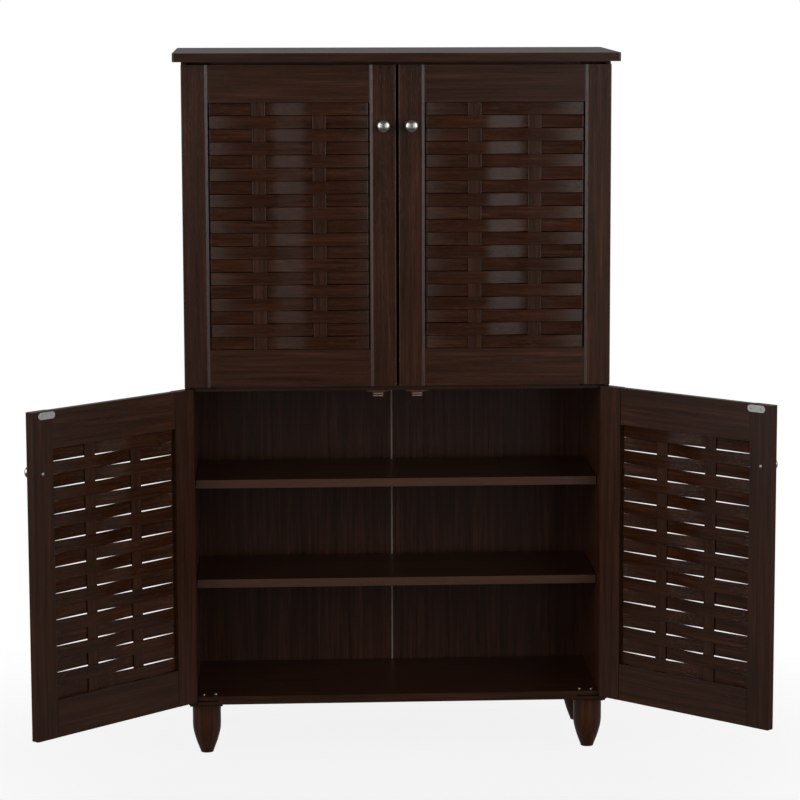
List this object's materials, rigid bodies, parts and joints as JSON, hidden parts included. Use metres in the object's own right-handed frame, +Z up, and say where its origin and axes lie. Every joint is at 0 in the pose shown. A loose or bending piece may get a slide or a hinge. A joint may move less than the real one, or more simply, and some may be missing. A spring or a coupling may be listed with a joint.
{
  "type": "shoe cabinet",
  "caption": "Tall shoe cabinet on turned legs, with hinged doors of woven slats above and below, round knobs and shelves inside.",
  "frame": {"origin": "middle of the footprint on the floor, with the lower doors standing open as at rest", "axes": "+Z up, -Y the front with the doors, +X to the right seen from the front"},
  "size_m": [1.2592, 0.5576, 1.24],
  "materials": {
    "dark_veneer": "satin espresso-stained wood grain",
    "dark_foil": "matt espresso wood-grain foil",
    "turned_wood": "satin espresso-stained turned wood",
    "brown_plastic": "moulded brown plastic",
    "steel": "zinc-plated steel",
    "bronzed_steel": "bronzed steel hinge plate",
    "nickel": "polished nickel"
  },
  "bodies": {
    "root": {"back_joint_strip": "brown_plastic", "back_panel_left": "dark_foil", "back_panel_right": "dark_foil", "bottom_board": "dark_foil", "leg_front_left": "turned_wood", "leg_front_right": "turned_wood", "leg_rear_left": "turned_wood", "leg_rear_right": "turned_wood", "magnetic_catch_lower_left": "brown_plastic", "magnetic_catch_lower_right": "brown_plastic", "magnetic_catch_upper_left": "brown_plastic", "magnetic_catch_upper_right": "brown_plastic", "middle_board": "dark_foil", "pivot_plate_bottom_left": "bronzed_steel", "pivot_plate_bottom_right": "bronzed_steel", "pivot_plate_middle_left": "bronzed_steel", "pivot_plate_middle_right": "bronzed_steel", "pivot_plate_top_left": "bronzed_steel", "pivot_plate_top_right": "bronzed_steel", "shelf_lower_1": "dark_foil", "shelf_lower_2": "dark_foil", "shelf_upper_1": "dark_foil", "shelf_upper_2": "dark_foil", "side_panel_left": "dark_veneer", "side_panel_right": "dark_veneer", "top_board": "dark_veneer", "top_stretcher": "dark_foil"},
    "door_upper_left": {"knob_screw_upper_left": "steel", "knob_upper_left": "nickel", "rail_bottom_upper_left": "dark_veneer", "rail_top_upper_left": "dark_veneer", "stile_free_upper_left": "dark_veneer", "stile_hinge_upper_left": "dark_veneer", "strike_plate_upper_left": "steel", "woven_panel_upper_left": "dark_veneer"},
    "door_upper_right": {"knob_screw_upper_right": "steel", "knob_upper_right": "nickel", "rail_bottom_upper_right": "dark_veneer", "rail_top_upper_right": "dark_veneer", "stile_free_upper_right": "dark_veneer", "stile_hinge_upper_right": "dark_veneer", "strike_plate_upper_right": "steel", "woven_panel_upper_right": "dark_veneer"},
    "door_lower_left": {"knob_lower_left": "nickel", "knob_screw_lower_left": "steel", "rail_bottom_lower_left": "dark_veneer", "rail_top_lower_left": "dark_veneer", "stile_free_lower_left": "dark_veneer", "stile_hinge_lower_left": "dark_veneer", "strike_plate_lower_left": "steel", "woven_panel_lower_left": "dark_veneer"},
    "door_lower_right": {"knob_lower_right": "nickel", "knob_screw_lower_right": "steel", "rail_bottom_lower_right": "dark_veneer", "rail_top_lower_right": "dark_veneer", "stile_free_lower_right": "dark_veneer", "stile_hinge_lower_right": "dark_veneer", "strike_plate_lower_right": "steel", "woven_panel_lower_right": "dark_veneer"}
  },
  "joints": [
    {"name": "door_upper_left_hinge", "type": "hinge", "parent": "root", "child": "door_upper_left", "pos_m": [-0.364, -0.01816, 0.94125], "axis": [0, 0, -1], "range_deg": [0, 170]},
    {"name": "door_upper_right_hinge", "type": "hinge", "parent": "root", "child": "door_upper_right", "pos_m": [0.364, -0.01816, 0.94125], "axis": [0, 0, 1], "range_deg": [0, 170]},
    {"name": "door_lower_left_hinge", "type": "hinge", "parent": "root", "child": "door_lower_left", "pos_m": [-0.364, -0.01816, 0.38125], "axis": [0, 0, -1], "range_deg": [-135, 35]},
    {"name": "door_lower_right_hinge", "type": "hinge", "parent": "root", "child": "door_lower_right", "pos_m": [0.364, -0.01816, 0.38125], "axis": [0, 0, 1], "range_deg": [-135, 35]}
  ]
}
